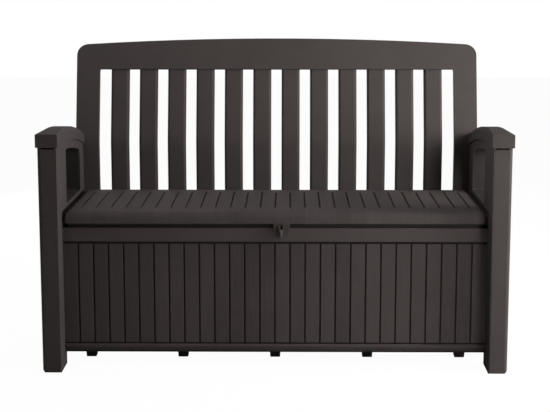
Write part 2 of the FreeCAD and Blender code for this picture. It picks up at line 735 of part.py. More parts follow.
def seat_lid():
    body = box(-lid_half, lid_half, lid_front, lid_rear, lid_bottom, lid_top)

    def front_ends(edge):
        return edge_on(edge, "y", lid_front) and near(edge.BoundBox.XLength, 0)

    body = rounded(body, lid_edge_radius, front_ends)
    body = rounded(body, lid_nose_radius, lambda edge: near(edge.BoundBox.YMax, lid_front)
                   and edge_on(edge, "z", lid_top))

    def top_rim(edge):
        return edge_on(edge, "z", lid_top) and edge.BoundBox.YMax > lid_front + lid_nose_radius + 1

    body = rounded(body, lid_edge_radius, top_rim)
    room = box(-lid_half + wall, lid_half - wall, lid_front + wall, lid_rear - wall, lid_bottom, plate_bottom)
    room = rounded(room, lid_nose_radius - wall, lambda edge: edge_on(edge, "y", lid_front + wall)
                   and edge_on(edge, "z", plate_bottom))
    body = body.cut(room)
    posts = [rod(boss_radius, V(x, y, liner_top), V(x, y, plate_bottom)) for x, y in liner_screw_places]
    body = fused([body] + posts)
    reach = int((lid_half - lid_edge_radius) / plank_pitch)
    half = groove_width / 2
    groove_start, groove_end = lid_front + groove_front_margin, lid_rear - groove_rear_margin
    tools = []
    for k in range(-reach, reach + 1):
        x = k * plank_pitch
        tools.append(box(x - half, x + half, groove_start, groove_end, lid_top - groove_depth, lid_top))
    for x, y in liner_screw_places:
        tools.append(rod(screw_hole, V(x, y, liner_top), V(x, y, plate_bottom)))
    for side in (-1, 1):
        a = V(side * (lid_half - wall), hinge_y, hinge_z)
        tools.append(rod(pin_radius + pin_clear, a, V(side * lid_half, hinge_y, hinge_z)))
    for x in hasp_screw_x():
        a = V(x, lid_front + wall, hasp_screw_z)
        tools.append(rod(screw_hole, a, V(x, lid_front + blind_gap, hasp_screw_z)))
    return cut_all(body, tools)


def lid_liner():
    plate = box(-liner_half, liner_half, liner_front, liner_rear, liner_bottom, liner_top)
    pieces = [plate]
    rib_front = lid_front + lid_nose_radius + fit_gap
    for k in range(rib_count):
        x = (k - (rib_count - 1) / 2) * rib_pitch
        pieces.append(box(x - rib_thickness / 2, x + rib_thickness / 2, rib_front, liner_rear,
                          liner_top, plate_bottom))
    block = bush_radius + boss_wall
    for side in (-1, 1):
        x0, x1 = sorted((side * liner_half, side * (liner_half - bush_length)))
        pieces.append(box(x0, x1, hinge_y - block, liner_rear, hinge_z - block, plate_bottom))
    body = fused(pieces)
    tools = []
    for side in (-1, 1):
        a = V(side * liner_half, hinge_y, hinge_z)
        tools.append(rod(bush_radius, a, V(side * (liner_half - bush_length), hinge_y, hinge_z)))
    for x, y in liner_screw_places:
        tools.append(rod(screw_hole, V(x, y, liner_bottom), V(x, y, liner_top)))
    return cut_all(body, tools)


def hinge_bush():
    outer = rod(bush_radius, V(liner_half - bush_length, hinge_y, hinge_z), V(liner_half, hinge_y, hinge_z))
    bore = rod(pin_radius + pin_play, V(liner_half - bush_length, hinge_y, hinge_z),
               V(liner_half, hinge_y, hinge_z))
    return outer.cut(bore)


def hinge_pin():
    start = V(liner_half - bush_length, hinge_y, hinge_z)
    pin = rod(pin_radius, start, start + V(pin_length, 0, 0))
    return pin.makeChamfer(pin_radius / 6, [edge for edge in pin.Edges if edge.Closed])


def liner_screws():
    length = liner_thickness + liner_screw_bite
    return [plain_screw(V(x, y, liner_bottom), V(0, 0, 1), length) for x, y in liner_screw_places]


# Lock
eye_top = front_panel_top - eye_below_top
eye_z = eye_top - eye_height / 2
ear_gap = eye_thickness / 2 + eye_play
hasp_face = lid_front + wall
hasp_top = plate_bottom - lid_nose_radius + wall
hasp_screw_z = (lid_bottom + hasp_top) / 2
padlock_y = lid_front - ear_reach / 2


def hasp_screw_x():
    return [lock_offset - hasp_width / 3, lock_offset + hasp_width / 3]


def eye_screw_x():
    return [lock_offset - eye_width / 3, lock_offset + eye_width / 3]


def lid_hasp():
    x, half = lock_offset, hasp_width / 2
    under = lid_bottom - fit_gap
    foot = lid_bottom - hasp_reach
    slope = (hasp_width - hasp_foot) / 2
    waist = under - hasp_shoulder
    front = face_of([V(x - half, lid_front, under), V(x - half, lid_front, waist),
                     V(x - half + slope, lid_front, foot), V(x + half - slope, lid_front, foot),
                     V(x + half, lid_front, waist), V(x + half, lid_front, under)])
    plate = front.extrude(V(0, hasp_plate, 0))
    joggle = box(x - half, x + half, lid_front, hasp_face + hasp_plate, under - hasp_plate, under)
    tab = box(x - half, x + half, hasp_face, hasp_face + hasp_plate, under - hasp_plate, hasp_top)
    pieces = [plate, joggle, tab]
    for side in (-1, 1):
        x0, x1 = sorted((x + side * ear_gap, x + side * (ear_gap + ear_thickness)))
        ear = box(x0, x1, lid_front - ear_reach, lid_front, foot, under - hasp_plate)
        pieces.append(rounded(ear, ear_radius, lambda edge: edge_on(edge, "y", lid_front - ear_reach)
                              and near(edge.BoundBox.XLength, ear_thickness)))
    body = fused(pieces)
    tools = [box(x - ear_gap, x + ear_gap, lid_front - ear_reach, lid_front + hasp_plate, foot,
                 under - hasp_plate)]
    tools.append(rod(padlock_radius, V(x - half, padlock_y, eye_z), V(x + half, padlock_y, eye_z)))
    for sx in hasp_screw_x():
        tools.append(rod(screw_hole, V(sx, hasp_face, hasp_screw_z), V(sx, hasp_face + hasp_plate, hasp_screw_z)))
    return cut_all(body, tools)


def hasp_screws():
    seat = hasp_face + hasp_plate
    length = hasp_plate + wall - 1.5 * blind_gap
    return [plain_screw(V(x, seat, hasp_screw_z), V(0, -1, 0), length) for x in hasp_screw_x()]


def lock_eye():
    x = lock_offset
    face = front_panel_depth
    plate = box(x - eye_width / 2, x + eye_width / 2, face - eye_plate, face, eye_top - eye_height, eye_top)
    fin = box(x - eye_thickness / 2, x + eye_thickness / 2, lid_front - ear_reach - eye_thickness, face,
              eye_top - eye_height, eye_top)
    fin = rounded(fin, eye_height / 3, lambda edge: near(edge.BoundBox.XLength, eye_thickness)
                  and edge_on(edge, "y", lid_front - ear_reach - eye_thickness))
    body = fused([plate, fin])
    tools = [rod(padlock_radius, V(x - eye_width, padlock_y, eye_z), V(x + eye_width, padlock_y, eye_z))]
    for sx in eye_screw_x():
        tools.append(rod(screw_hole, V(sx, face - eye_plate, eye_z), V(sx, face, eye_z)))
    return cut_all(body, tools)


def eye_screws():
    # flush heads, sunk in the eye's plate
    length = panel_inside - front_panel_depth - blind_gap
    return [rod(screw_radius, V(x, front_panel_depth - eye_plate, eye_z), V(x, front_panel_depth + length, eye_z))
            for x in eye_screw_x()]


os.makedirs("parts", exist_ok=True)
save_pair("side_frame", side_frame())
save_pair("side_cover", side_cover())
save("cover_screws", cover_screws())
save_pair("arm_cap", arm_cap())
save("front_panel", [front_panel()])
save("front_panel_screws", panel_screws(front_flange_y))
save("cross_rail", [cross_rail()])
save("cross_rail_screws", cross_rail_screws())
save("rear_panel", [rear_panel()])
save("rear_panel_screws", panel_screws(rear_flange_y))
save("floor_panel", [floor_panel()])
save("backrest", [backrest_panel()])
save("backrest_bolts", backrest_bolts())
save("backrest_screws", backrest_screws())
save("seat_lid", [seat_lid()])
save("lid_liner", [lid_liner()])
save("liner_screws", liner_screws())
save_pair("hinge_bush", hinge_bush())
save_pair("hinge_pin", hinge_pin())
save("lid_hasp", [lid_hasp()])
save("hasp_screws", hasp_screws())
save("lock_eye", [lock_eye()])
save("eye_screws", eye_screws())
print("middle of the depth", mid_depth, "rear of the backrest", backrest_rear)
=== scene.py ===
import json
import math

import bmesh
import bpy
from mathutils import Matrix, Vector

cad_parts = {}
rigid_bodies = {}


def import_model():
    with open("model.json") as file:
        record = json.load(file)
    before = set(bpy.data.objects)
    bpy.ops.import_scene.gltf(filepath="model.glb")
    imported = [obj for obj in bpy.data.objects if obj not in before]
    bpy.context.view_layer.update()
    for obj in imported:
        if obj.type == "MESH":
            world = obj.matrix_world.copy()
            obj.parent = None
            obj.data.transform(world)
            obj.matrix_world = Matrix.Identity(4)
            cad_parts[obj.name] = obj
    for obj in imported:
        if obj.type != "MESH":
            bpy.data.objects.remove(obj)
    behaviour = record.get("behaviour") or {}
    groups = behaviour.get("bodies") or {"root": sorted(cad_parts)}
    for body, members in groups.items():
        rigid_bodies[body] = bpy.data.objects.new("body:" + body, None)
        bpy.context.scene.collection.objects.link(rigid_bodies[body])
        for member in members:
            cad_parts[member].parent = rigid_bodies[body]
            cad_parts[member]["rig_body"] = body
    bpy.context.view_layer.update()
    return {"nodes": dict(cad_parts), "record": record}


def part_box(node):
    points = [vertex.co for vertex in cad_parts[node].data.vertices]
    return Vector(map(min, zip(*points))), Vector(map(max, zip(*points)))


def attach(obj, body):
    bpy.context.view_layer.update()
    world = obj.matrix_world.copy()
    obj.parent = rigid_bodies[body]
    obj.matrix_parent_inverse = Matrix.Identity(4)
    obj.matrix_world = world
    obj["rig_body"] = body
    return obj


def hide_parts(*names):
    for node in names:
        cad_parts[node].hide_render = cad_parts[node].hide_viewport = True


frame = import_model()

# Outdoor storage bench in dark moulded resin: the finish of every piece, the light and the camera
# Metres, in the frame of the model: +X to the right, -Y towards the viewer, +Z up

nodes = frame["nodes"]
scene = bpy.context.scene
X, Y, Z = range(3)

# Camera, fitted to the photograph
camera_place = (0.041, -4.2134, 1.1248)
camera_pitch = 9.25          # degrees below level
camera_turn = 0.585          # degrees to the left
camera_lens = 91.32          # millimetres
film_width = 36.0            # millimetres

# Studio: light from the surroundings, floor from its middle to its sides, and the white that it shows
fill_light = 0.08
floor_reach = 12.0
floor_white = 0.97
floor_colour = (0.85, 0.85, 0.85, 1)
floor_roughness = 0.9

# Soft lamps: name, place, what they are aimed at, width, watts and spread in degrees
bench_middle = (0.0, 0.0, 0.45)
beside_right_leg = (0.9, -0.2, 0.5)
lamps = [
    ("key", (1.7, -3.2, 1.6), beside_right_leg, 1.0, 4.8, 40),
    ("right", (2.4, -0.6, 1.0), bench_middle, 1.4, 112.0, 180),
    ("right_high", (2.0, -1.1, 2.0), bench_middle, 1.2, 12.0, 180),
    ("top", (-0.7, -0.2, 2.6), bench_middle, 1.4, 26.0, 180),
    ("left", (-2.8, 0.9, 0.8), bench_middle, 1.4, 24.0, 180),
    ("back", (-0.3, 3.2, 0.9), bench_middle, 2.0, 70.0, 180),
]

# Planks of the box with their span in height, and those of the sides with their span in depth
plank_pitch = 0.044
box_planks = ("Z", 0.0715, 0.3655)
side_planks = ("Y", -0.2082, 0.2168)

# Pressed wood grain: its axes, the place of a groove, the spans it covers, and how much darker it is
# there, a painted shade that makes the set-back planks darker than the rails
side_spans = (box_planks, side_planks)
side_wood = {"across": "Y", "along": "Z", "groove": 0.0043, "spans": side_spans, "darker": 0.08}
front_wood = {"across": "X", "along": "Z", "groove": 0.0, "spans": (box_planks,), "darker": 0.15}
seat_wood = {"across": "X", "along": "Y", "groove": 0.0, "spans": (), "darker": 0.0}

# Patterns in the surfaces, in repeats per metre
pit_repeats = 900.0
cloud_repeats = 60.0
flow_repeats = 7.0
streak_repeats = (260.0, 9.0)                # across and along a plank
rub_repeats = 22.0
drawn_repeats = (40.0, 1200.0, 1200.0)       # along and across the drawn steel
patch_repeats = 180.0
speck_repeats = 420.0
skin_repeats = 900.0
noise_range = (0.3, 0.7)                     # between which nearly all of the noise lies

# Inside the patterns: swing of tone to both sides, and what the edges keep of their rub
flow_swing = 0.7
cloud_swing = 0.3
cloud_height = 0.5           # against the pits
streak_swing = 0.6
plank_swing = 0.5            # from plank to plank
rub_range = (0.35, 0.65)     # of the noise
rub_least = 0.35

# Resin: how strongly it shows its flow, its pits, its wood grain, its rubbed edges, and its soil and
# painted shade
flow_tone = 0.07
flow_dullness = 0.05
pit_height = 0.35
wood_tone = 0.14
plank_shift = 40.0           # how far the streaks of the planks are shifted against each other
rub_pale = 0.45
rub_polish = 0.12
dirt_and_shade_left = 0.1             # share of the colour that shows through the darkest soil and painted shade
resin_bump = (0.0003, 0.5)   # depth and strength
resin_gloss = 0.01           # matt resin mirrors little

# Metals: tone of their patches, swing of their roughness, and bump as depth and strength
steel_tone = (0.85, 1.05)
steel_swing = (-0.06, 0.1)
steel_bump = (0.00005, 0.4)
paint_tone = (0.85, 1.15)
paint_swing = (-0.06, 0.06)
paint_bump = (0.00008, 0.4)
paint_gloss = 0.2
paint_worn = (0.48, 0.56)    # noise at which the paint starts to be rubbed through, and is gone

# Painted shade on the floors of the grooves, and on the panel's top under the lid: axis, outer side,
# depth and amount
full_painted_shade = 1.0
groove_painted_shade = 0.78
box_groove = 0.0075
seat_groove = 0.0025
side_groove = 0.005
painted_shade_floors = {
    "front_panel": [(Y, -1, box_groove, groove_painted_shade), (Z, 1, 0.0, full_painted_shade)],
    "rear_panel": [(Y, 1, box_groove, groove_painted_shade)],
    "seat_lid": [(Z, 1, seat_groove, groove_painted_shade)],
    "side_frame_left": [(X, -1, side_groove, groove_painted_shade)],
    "side_frame_right": [(X, 1, side_groove, groove_painted_shade)],
}

# Darker towards the foot: soil splashed up on the legs, painted shade on the front panel's bottom rail
# and on the right inner cover; how dark at the foot of the piece, and how far up it fades out
leg_splash = (0.26, 0.65)
soil_and_shade_at_foot = {
    "front_panel": (0.75, 0.025),
    "side_frame_left": leg_splash,
    "side_frame_right": leg_splash,
    "side_cover_right": (0.75, 0.6),
}

# Painted shadow lines on the legs under the arm caps, and painted shade at the foot of the front panel
cap_shadow_line = 0.6499            # where it starts, above the ground
foot_shade_line = 0.0035           # where it ends, above the panel's foot

# Painted shade line on the inner covers beside the lid: spans along Y and Z
lid_low, lid_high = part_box("seat_lid")
seat_line_inset = 0.001
seat_line_depth = 0.0095
seat_line_rise = 0.0002
seat_line_length = (lid_low.y + seat_line_inset, lid_high.y - seat_line_inset)
seat_line_height = (lid_high.z - seat_line_depth, lid_high.z + seat_line_rise)
seat_line_shade = 0.85

# Painted shade inside the arm windows: spans along Y and Z that hold them
window_length = (-0.1475, 0.1280)
window_height = (0.4685, 0.6225)
window_shade = 0.6

# Choice of faces: looking along an axis, turned away from it, large in square metres
straight = 0.9
turned_away = 0.3
large_front = 0.01
large_cover = 0.001
hair = 1e-5                  # smallest distance that counts

# Moulded edges: rounding of frames, panels, small mouldings and the eye
frame_round = 0.0012
panel_round = 0.001
small_round = 0.0007
eye_round = 0.0006
round_segments = 2
edge_angle = math.radians(28)
shade_angle = math.radians(40)
flat_angle = math.radians(0.4)
weld_distance = 1e-6

# Slats of the backrest: row between the middles of the outer ones, half width and round front edges
slat_count = 12
slat_row = 1.0012
slat_pitch = slat_row / (slat_count - 1)
slat_half = 0.029
slat_round = 0.0065
round_faces = (0.02, 0.9995) # sideways turn of the faces of a round edge
front_turn = -0.05           # forward turn that all of them have at least

# Top rail of the backrest: height of its lower edge, which falls a little at both ends, and its chamfer
slot_top = 0.8375
slot_top_play = 0.002
rail_turn = -0.8             # forward turn that its front has at least
rail_chamfer = 0.0025

# Bottom rail of the front panel: top above the panel's foot, round upper edge and tilt of its face
foot_rail_top = 0.025
foot_rail_round = 0.0046
foot_rail_tilt = 0.2


# Node helpers
def node_in(tree, kind, **settings):
    node = tree.nodes.new(kind)
    for key, value in settings.items():
        setattr(node, key, value)
    return node


def wire(tree, source, target):
    tree.links.new(source, target)


def maths(tree, operation, first, second=None):
    node = node_in(tree, "ShaderNodeMath", operation=operation)
    for socket, value in zip(node.inputs, (first, second)):
        if value is None:
            continue
        if isinstance(value, (int, float)):
            socket.default_value = value
        else:
            wire(tree, value, socket)
    return node.outputs[0]


def remap(tree, value, low, high, new_low, new_high):
    node = node_in(tree, "ShaderNodeMapRange")
    wire(tree, value, node.inputs["Value"])
    node.inputs["From Min"].default_value = low
    node.inputs["From Max"].default_value = high
    node.inputs["To Min"].default_value = new_low
    node.inputs["To Max"].default_value = new_high
    return node.outputs["Result"]


def noise(tree, vector, scale, detail, roughness=0.5, distortion=0.0):
    node = node_in(tree, "ShaderNodeTexNoise")
    wire(tree, vector, node.inputs["Vector"])
    node.inputs["Scale"].default_value = scale
    node.inputs["Detail"].default_value = detail
    node.inputs["Roughness"].default_value = roughness
    node.inputs["Distortion"].default_value = distortion
    return node.outputs["Fac"]


# Noise spread out between two values
def spread_out(tree, value, low, high):
    return remap(tree, value, *noise_range, low, high)


# Noise that swings as far below nought as above it
def swung(tree, value, swing):
    return spread_out(tree, value, -swing, swing)


def attribute(tree, name):
    return node_in(tree, "ShaderNodeAttribute", attribute_name=name).outputs["Fac"]


def object_place(tree):
    return node_in(tree, "ShaderNodeTexCoord").outputs["Object"]


def new_group(name, inputs, outputs):
    tree = bpy.data.node_groups.new(name, "ShaderNodeTree")
    for label, kind in inputs:
        tree.interface.new_socket(label, in_out="INPUT", socket_type=kind)
    for label in outputs:
        tree.interface.new_socket(label, in_out="OUTPUT", socket_type="NodeSocketFloat")
    return tree, node_in(tree, "NodeGroupInput"), node_in(tree, "NodeGroupOutput")


# Fine spark-eroded grain of the mould, with slow drifts of tone left by the flow of the resin
def moulded_grain_group():
    tree, given, result = new_group("moulded_grain", [("Place", "NodeSocketVector")], ["Tone", "Height"])
    place = given.outputs["Place"]
    pits = noise(tree, place, pit_repeats, detail=2.0)
    flow = noise(tree, place, flow_repeats, detail=3.0, roughness=0.55, distortion=0.8)
    cloud = noise(tree, place, cloud_repeats, detail=2.0)
    tone = maths(tree, "ADD", swung(tree, flow, flow_swing), swung(tree, cloud, cloud_swing))
    height = maths(tree, "ADD", pits, maths(tree, "MULTIPLY", cloud, cloud_height))
    wire(tree, tone, result.inputs["Tone"])
    wire(tree, height, result.inputs["Height"])
    return tree


# Wood grain pressed into the planks: streaks along each plank, different on every plank
def plank_grain_group():
    tree, given, result = new_group(
        "plank_grain", [("Across", "NodeSocketFloat"), ("Along", "NodeSocketFloat")], ["Tone", "Height"])
    across, along = given.outputs["Across"], given.outputs["Along"]
    number = maths(tree, "FLOOR", maths(tree, "DIVIDE", across, plank_pitch))
    chance = node_in(tree, "ShaderNodeTexWhiteNoise", noise_dimensions="1D")
    wire(tree, number, chance.inputs["W"])
    shift = maths(tree, "MULTIPLY", chance.outputs["Value"], plank_shift)
    run = maths(tree, "MULTIPLY", along, streak_repeats[1])
    place = node_in(tree, "ShaderNodeCombineXYZ")
    wire(tree, maths(tree, "MULTIPLY", across, streak_repeats[0]), place.inputs["X"])
    wire(tree, maths(tree, "ADD", run, shift), place.inputs["Y"])
    wire(tree, number, place.inputs["Z"])
    streak = noise(tree, place.outputs[0], 1.0, detail=5.0, roughness=0.6, distortion=0.5)
    own_tone = remap(tree, chance.outputs["Value"], 0.0, 1.0, -plank_swing, plank_swing)
    wire(tree, maths(tree, "ADD", swung(tree, streak, streak_swing), own_tone), result.inputs["Tone"])
    wire(tree, streak, result.inputs["Height"])
    return tree


# Edges rubbed smooth and a little pale, broken up along their length
def edge_rub_group():
    tree, given, result = new_group(
        "edge_rub", [("Place", "NodeSocketVector"), ("Edge", "NodeSocketFloat")], ["Rub"])
    patches = noise(tree, given.outputs["Place"], rub_repeats, detail=3.0)
    broken = remap(tree, patches, *rub_range, rub_least, 1.0)
    wire(tree, maths(tree, "MULTIPLY", given.outputs["Edge"], broken), result.inputs["Rub"])
    return tree


# Soil and painted shade: how much of the colour they leave
def dirt_and_shade_group():
    tree, given, result = new_group("dirt_and_painted_shade", [("Amount", "NodeSocketFloat")], ["Left"])
    wire(tree, remap(tree, given.outputs["Amount"], 0.0, 1.0, 1.0, dirt_and_shade_left), result.inputs["Left"])
    return tree


# Drawn steel: fine lines along X, and patches
def drawn_steel_group():
    tree, given, result = new_group("drawn_steel", [("Place", "NodeSocketVector")], ["Lines", "Patches"])
    place = given.outputs["Place"]
    stretch = node_in(tree, "ShaderNodeMapping")
    stretch.inputs["Scale"].default_value = drawn_repeats
    wire(tree, place, stretch.inputs["Vector"])
    wire(tree, noise(tree, stretch.outputs[0], 1.0, detail=3.0), result.inputs["Lines"])
    wire(tree, noise(tree, place, patch_repeats, detail=3.0), result.inputs["Patches"])
    return tree


moulded_grain = moulded_grain_group()
plank_grain = plank_grain_group()
edge_rub = edge_rub_group()
dirt_and_painted_shade = dirt_and_shade_group()
drawn_steel = drawn_steel_group()


# Group placed in a material, with what is wired into its inputs
def use_group(tree, group, **given):
    node = node_in(tree, "ShaderNodeGroup", node_tree=group)
    for label, source in given.items():
        wire(tree, source, node.inputs[label])
    return node.outputs


# Colour times a factor that varies over the surface
def tinted(tree, colour, factor):
    mix = node_in(tree, "ShaderNodeVectorMath", operation="SCALE")
    mix.inputs[0].default_value = colour
    wire(tree, factor, mix.inputs["Scale"])
    return mix.outputs["Vector"]


def new_material(name):
    material = bpy.data.materials.new(name)
    material.use_nodes = True
    tree = material.node_tree
    return material, tree, tree.nodes["Principled BSDF"]


def bumped(tree, shader, height, distance, strength):
    bump = node_in(tree, "ShaderNodeBump")
    bump.inputs["Distance"].default_value = distance
    bump.inputs["Strength"].default_value = strength
    wire(tree, height, bump.inputs["Height"])
    wire(tree, bump.outputs["Normal"], shader.inputs["Normal"])


# Tone and height of the pressed wood grain, with the painted shade of the planks, nought outside the
# spans that it covers
def plank_layer(tree, place, wood):
    axes = node_in(tree, "ShaderNodeSeparateXYZ")
    wire(tree, place, axes.inputs[0])
    across = maths(tree, "SUBTRACT", axes.outputs[wood["across"]], wood["groove"])
    grain = use_group(tree, plank_grain, Across=across, Along=axes.outputs[wood["along"]])
    inside = 1.0
    for axis, low, high in wood["spans"]:
        above = maths(tree, "GREATER_THAN", axes.outputs[axis], low)
        below = maths(tree, "LESS_THAN", axes.outputs[axis], high)
        inside = maths(tree, "MULTIPLY", inside, maths(tree, "MULTIPLY", above, below))
    tone = maths(tree, "SUBTRACT", maths(tree, "MULTIPLY", grain["Tone"], wood_tone), wood["darker"])
    return maths(tree, "MULTIPLY", tone, inside), maths(tree, "MULTIPLY", grain["Height"], inside)


# Resin: moulded grain, pressed wood where there is some, pale rubbed edges, soil and painted shade
def resin(name, colour, roughness, wood=None):
    material, tree, shader = new_material(name)
    place = object_place(tree)
    grain = use_group(tree, moulded_grain, Place=place)
    rub = use_group(tree, edge_rub, Place=place, Edge=attribute(tree, "edge"))["Rub"]
    # Share of the colour left by soil and painted shade
    left_by_soil_and_shade = use_group(tree, dirt_and_painted_shade, Amount=attribute(tree, "groove"))["Left"]
    tone = maths(tree, "MULTIPLY", grain["Tone"], flow_tone)
    height = maths(tree, "MULTIPLY", grain["Height"], pit_height)
    if wood:
        plank_tone, plank_height = plank_layer(tree, place, wood)
        tone = maths(tree, "ADD", tone, plank_tone)
        height = maths(tree, "ADD", height, plank_height)
    pale = maths(tree, "MULTIPLY", rub, rub_pale)
    factor = maths(tree, "ADD", maths(tree, "ADD", tone, 1.0), pale)
    wire(tree, tinted(tree, colour, maths(tree, "MULTIPLY", factor, left_by_soil_and_shade)), shader.inputs["Base Color"])
    dull = maths(tree, "ADD", maths(tree, "MULTIPLY", grain["Tone"], flow_dullness), roughness)
    polish = maths(tree, "MULTIPLY", rub, rub_polish)
    wire(tree, maths(tree, "SUBTRACT", dull, polish), shader.inputs["Roughness"])
    bumped(tree, shader, height, *resin_bump)
    shader.inputs["Specular IOR Level"].default_value = resin_gloss
    return material


# Steel: drawn lines and dull patches
def steel(name, colour, roughness):
    material, tree, shader = new_material(name)
    drawn = use_group(tree, drawn_steel, Place=object_place(tree))
    tone = spread_out(tree, drawn["Patches"], *steel_tone)
    wire(tree, tinted(tree, colour, tone), shader.inputs["Base Color"])
    smooth, dull = steel_swing
    lines = spread_out(tree, drawn["Lines"], roughness + smooth, roughness + dull)
    wire(tree, lines, shader.inputs["Roughness"])
    shader.inputs["Metallic"].default_value = 1.0
    bumped(tree, shader, drawn["Lines"], *steel_bump)
    return material


# Painted metal: the paint is rubbed through at the edges, in specks
def painted(name, colour, roughness, bare):
    material, tree, shader = new_material(name)
    place = object_place(tree)
    specks = noise(tree, place, speck_repeats, detail=3.0, roughness=0.6)
    skin = noise(tree, place, skin_repeats, detail=2.0)
    worn = maths(tree, "MULTIPLY", attribute(tree, "edge"), remap(tree, specks, *paint_worn, 0.0, 1.0))
    blend = node_in(tree, "ShaderNodeMix", data_type="RGBA")
    wire(tree, worn, blend.inputs["Factor"])
    wire(tree, tinted(tree, colour, spread_out(tree, specks, *paint_tone)), blend.inputs["A"])
    blend.inputs["B"].default_value = (*bare, 1.0)
    wire(tree, blend.outputs["Result"], shader.inputs["Base Color"])
    wire(tree, worn, shader.inputs["Metallic"])
    smooth, dull = paint_swing
    wire(tree, spread_out(tree, skin, roughness + smooth, roughness + dull), shader.inputs["Roughness"])
    bumped(tree, shader, skin, *paint_bump)
    shader.inputs["Specular IOR Level"].default_value = paint_gloss
    return material


# Finish of each slot: name, colour and roughness, then the wood or the bare metal
finishes = {
    "resin": resin("frame_resin", (0.049, 0.042, 0.0405), 0.92, side_wood),
    "cap_resin": resin("arm_cap_resin", (0.049, 0.042, 0.0405), 0.92),
    # The plank resin is a little lighter than the frame's, a painted light on the panel's rails
    "plank_resin": resin("plank_resin", (0.0525, 0.043, 0.042), 0.92, front_wood),
    "seat_resin": resin("seat_resin", (0.051, 0.0435, 0.0415), 0.92, seat_wood),
    "backrest_resin": resin("backrest_resin", (0.050, 0.0425, 0.0405), 0.92),
    "floor_resin": resin("floor_resin", (0.032, 0.028, 0.026), 0.75),
    "hasp_resin": resin("hasp_resin", (0.042, 0.036, 0.033), 0.60),
    "eye_metal": painted("eye_metal", (0.060, 0.055, 0.052), 0.45, (0.55, 0.54, 0.52)),
    "bush_nylon": resin("bush_nylon", (0.50, 0.49, 0.46), 0.45),
    "pin_steel": steel("pin_steel", (0.09, 0.088, 0.086), 0.34),
    "screw_steel": steel("screw_steel", (0.50, 0.50, 0.49), 0.34),
}
slot_of = {part["node"]: part["material_slot"] for part in frame["record"]["subparts"]}


def finish_with(piece, slot):
    piece.data.materials.clear()
    piece.data.materials.append(finishes[slot])


# Mesh helpers
def foot_of(shell):
    return min(vert.co.z for vert in shell.verts)


def is_outer_edge(edge):
    return len(edge.link_faces) == 2 and edge.calc_face_angle_signed(0.0) > edge_angle


def bevel(shell, edges, offset, segments):
    return bmesh.ops.bevel(shell, geom=edges, offset=offset, offset_type="OFFSET", segments=segments,
                           profile=0.5, affect="EDGES", material=-1, clamp_overlap=False)


def cut_faces(shell, faces, point, normal):
    around = dict.fromkeys(part for face in faces for part in (*face.edges, *face.verts))
    bmesh.ops.bisect_plane(shell, geom=faces + list(around), plane_co=point, plane_no=normal)


def mark_face(face, mark, amount):
    for loop in face.loops:
        loop[mark] = amount


# Whether a face lies within a span along Y and one along Z
def lies_within(face, length, height):
    return all(length[0] - hair < vert.co.y < length[1] + hair
               and height[0] - hair < vert.co.z < height[1] + hair for vert in face.verts)


# Painted shade on the floors of the grooves, with all the corners that meet there
def mark_floor(shell, mark, axis, side, depth, amount):
    level = side * (max(side * vert.co[axis] for vert in shell.verts) - depth)
    for face in shell.faces:
        if all(abs(vert.co[axis] - level) < 2 * hair for vert in face.verts):
            for vert in face.verts:
                for loop in vert.link_loops:
                    loop[mark] = amount


# Darker towards the foot of a piece
def mark_foot_darkening(shell, mark, amount, reach):
    foot = foot_of(shell)
    for face in shell.faces:
        for loop in face.loops:
            loop[mark] = amount * max(0.0, 1.0 - (loop.vert.co.z - foot) / reach)


# Painted shade line on the front of a piece, above a height, or below it where the side is -1
def mark_front_line(shell, mark, height, side):
    front = [face for face in shell.faces if face.normal.y < -straight and face.calc_area() > large_front]
    cut_faces(shell, front, (0, 0, height), (0, 0, 1))
    for face in shell.faces:
        if face.normal.y < -straight and all(side * (vert.co.z - height) > -hair for vert in face.verts):
            mark_face(face, mark, full_painted_shade)


# Painted shade line on an inner cover, beside the lid
def mark_seat_line(shell, mark):
    rims = [((0, 0, height), (0, 0, 1)) for height in seat_line_height]
    ends = [((0, place, 0), (0, 1, 0)) for place in seat_line_length]
    for point, normal in rims + ends:
        inner = [face for face in shell.faces
                 if abs(face.normal.x) > straight and face.calc_area() > large_cover]
        cut_faces(shell, inner, point, normal)
    for face in shell.faces:
        if abs(face.normal.x) > straight and lies_within(face, seat_line_length, seat_line_height):
            mark_face(face, mark, seat_line_shade)


# Painted shade inside the arm window
def mark_window(shell, mark):
    for face in shell.faces:
        if abs(face.normal.x) < turned_away and lies_within(face, window_length, window_height):
            mark_face(face, mark, window_shade)


# Soil at the foot of the legs, and painted shade in the grooves, on the panel top under the lid, under
# the caps, beside the lid, in the windows and at the front panel's foot, all in the groove layer
def mark_soil_and_shade(shell, node):
    mark = shell.loops.layers.float.new("groove")
    if node in soil_and_shade_at_foot:
        mark_foot_darkening(shell, mark, *soil_and_shade_at_foot[node])
    for floor in painted_shade_floors.get(node, ()):
        mark_floor(shell, mark, *floor)
    if node == "front_panel":
        mark_front_line(shell, mark, foot_of(shell) + foot_shade_line, -1)
    if node.startswith("side_frame"):
        mark_front_line(shell, mark, cap_shadow_line, 1)
    if node.startswith("side_cover"):
        mark_seat_line(shell, mark)
    if node.startswith("side_"):
        mark_window(shell, mark)


# Middles of the rounded strips, for the rub
def mark_rub(shell, strips):
    mark = shell.loops.layers.float.new("edge")
    for face in strips:
        for loop in face.loops:
            if all(other in strips for other in loop.vert.link_faces):
                loop[mark] = 1.0


# How far a round edge stands out from the flat chamfer with the same ends
def above_chamfer(inward, radius):
    return math.sqrt(inward * (2 * radius - inward)) - inward


